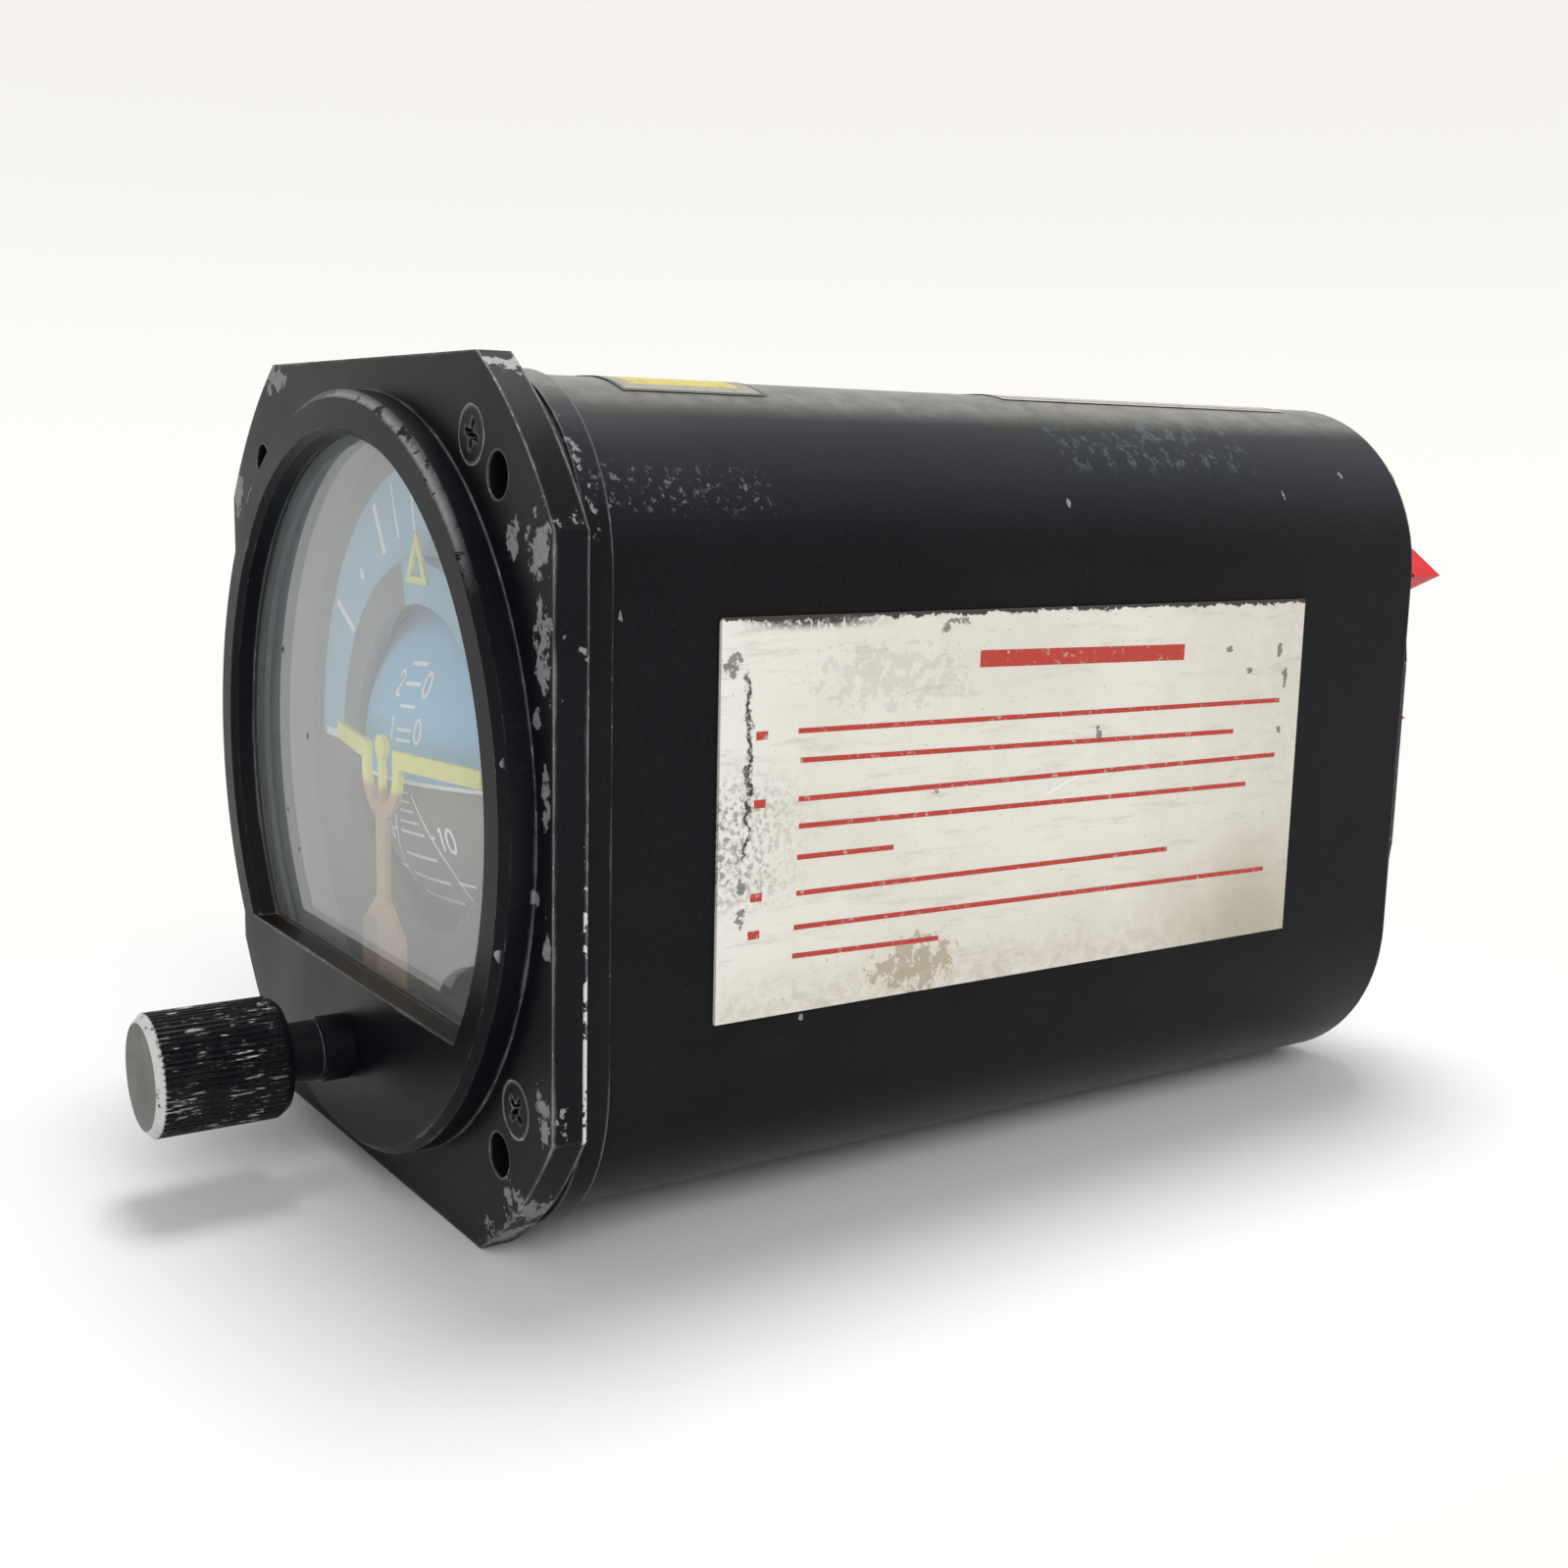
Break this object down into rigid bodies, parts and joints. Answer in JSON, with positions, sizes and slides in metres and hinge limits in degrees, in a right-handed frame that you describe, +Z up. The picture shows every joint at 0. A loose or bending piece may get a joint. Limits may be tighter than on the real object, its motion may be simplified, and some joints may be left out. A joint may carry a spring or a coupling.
{
  "type": "attitude indicator",
  "caption": "Panel mounted gyroscopic attitude indicator: square flange, D-shaped window, trim knob, air driven rotor in a roll and pitch gimbal behind a horizon ball.",
  "frame": {"origin": "centre of the flange's front face, on the instrument's centre line", "axes": "+X right as seen from the front, +Y back into the panel, +Z up"},
  "size_m": [0.0848, 0.1514, 0.0848],
  "materials": {
    "black_enamel": "satin black enamel, worn to bare metal at edges",
    "glass": "polished",
    "seal_rubber": "matte",
    "zinc_steel": "zinc plated",
    "black_screw": "blackened",
    "brass": "machined",
    "aluminium": "machined",
    "grey_paint": "matte dark grey",
    "yellow_paint": "matte yellow",
    "card_print": "matte print",
    "ball_print": "matte paint",
    "red_plastic": "moulded",
    "placard_vinyl": "aged off-white film",
    "label_film": "aged film"
  },
  "bodies": {
    "case": {"bezel": "black_enamel", "window_gasket": "seal_rubber", "window_glass": "glass", "glass_retainer": "aluminium", "retainer_screws": "zinc_steel", "bezel_screws": "black_screw", "case_shell": "black_enamel", "bezel_gasket": "seal_rubber", "rear_gasket": "seal_rubber", "rear_cover": "black_enamel", "rear_cover_screws": "zinc_steel", "vacuum_outlet_fitting": "brass", "air_inlet_fitting": "brass", "vacuum_outlet_plug": "red_plastic", "air_inlet_plug": "red_plastic", "knob_bushing": "black_enamel", "bushing_nut": "brass", "slider_guides": "brass", "guide_screws": "zinc_steel", "bank_scale_card": "card_print", "card_spacer": "aluminium", "gimbal_post": "aluminium", "gimbal_bearing_inner_races": "zinc_steel", "side_placard": "placard_vinyl", "front_top_label": "label_film", "rear_top_label": "label_film"},
    "trim_knob": {"trim_knob": "black_enamel", "knob_cap": "grey_paint", "knob_shaft": "zinc_steel", "trim_pinion": "brass", "pinion_clip": "zinc_steel"},
    "airplane": {"airplane_symbol": "yellow_paint", "symbol_slider": "brass"},
    "roll_gimbal": {"roll_frame": "aluminium", "gimbal_bearing_outer_races": "zinc_steel", "pivot_bushes": "brass", "pointer_ring": "grey_paint", "sky_pointer": "yellow_paint"},
    "horizon_ball": {"horizon_ball": "ball_print", "ball_spindles": "zinc_steel", "ball_crank": "aluminium"},
    "pitch_link": {"pitch_link": "aluminium"},
    "rotor_housing": {"rotor_housing": "aluminium", "housing_cover": "aluminium", "rotor_bearings": "zinc_steel", "pitch_trunnions": "zinc_steel", "housing_crank": "aluminium", "vane_block": "aluminium"},
    "rotor": {"rotor_wheel": "brass", "rotor_shaft": "zinc_steel"},
    "side_vanes": {"side_vanes": "aluminium"},
    "fore_and_aft_vanes": {"fore_and_aft_vanes": "aluminium"}
  },
  "joints": [
    {"name": "trim_knob_turn", "type": "hinge", "parent": "case", "child": "trim_knob", "pos_m": [0, 0, -0.029], "axis": [0, 1, 0], "range_deg": [-70, 70]},
    {"name": "airplane_slide", "type": "slide", "parent": "case", "child": "airplane", "axis": [0, 0, 1], "range_m": [-0.00293, 0.00293]},
    {"name": "roll", "type": "hinge", "parent": "case", "child": "roll_gimbal", "pos_m": [0, 0.078, 0], "axis": [0, 1, 0], "continuous": true},
    {"name": "pitch", "type": "hinge", "parent": "roll_gimbal", "child": "rotor_housing", "pos_m": [0, 0.078, 0], "axis": [1, 0, 0], "range_deg": [-60, 60]},
    {"name": "ball_pitch", "type": "hinge", "parent": "roll_gimbal", "child": "horizon_ball", "pos_m": [0, 0.031, 0], "axis": [1, 0, 0], "range_deg": [-60, 60]},
    {"name": "link_pivot", "type": "hinge", "parent": "rotor_housing", "child": "pitch_link", "pos_m": [0, 0.078, 0.008], "axis": [1, 0, 0], "range_deg": [-60, 60]},
    {"name": "rotor_spin", "type": "hinge", "parent": "rotor_housing", "child": "rotor", "pos_m": [0, 0.078, 0], "axis": [0, 0, 1], "continuous": true},
    {"name": "side_vane_swing", "type": "hinge", "parent": "rotor_housing", "child": "side_vanes", "pos_m": [0, 0.078, -0.0143], "axis": [1, 0, 0], "range_deg": [-8, 8]},
    {"name": "fore_and_aft_vane_swing", "type": "hinge", "parent": "rotor_housing", "child": "fore_and_aft_vanes", "pos_m": [0, 0.078, -0.016], "axis": [0, 1, 0], "range_deg": [-8, 8]}
  ],
  "couplings": [
    {"joint": "trim_knob_turn", "follows": "airplane_slide", "rad_per_m": -416.67},
    {"joint": "ball_pitch", "follows": "pitch", "ratio": 1},
    {"joint": "link_pivot", "follows": "pitch", "ratio": -1}
  ]
}
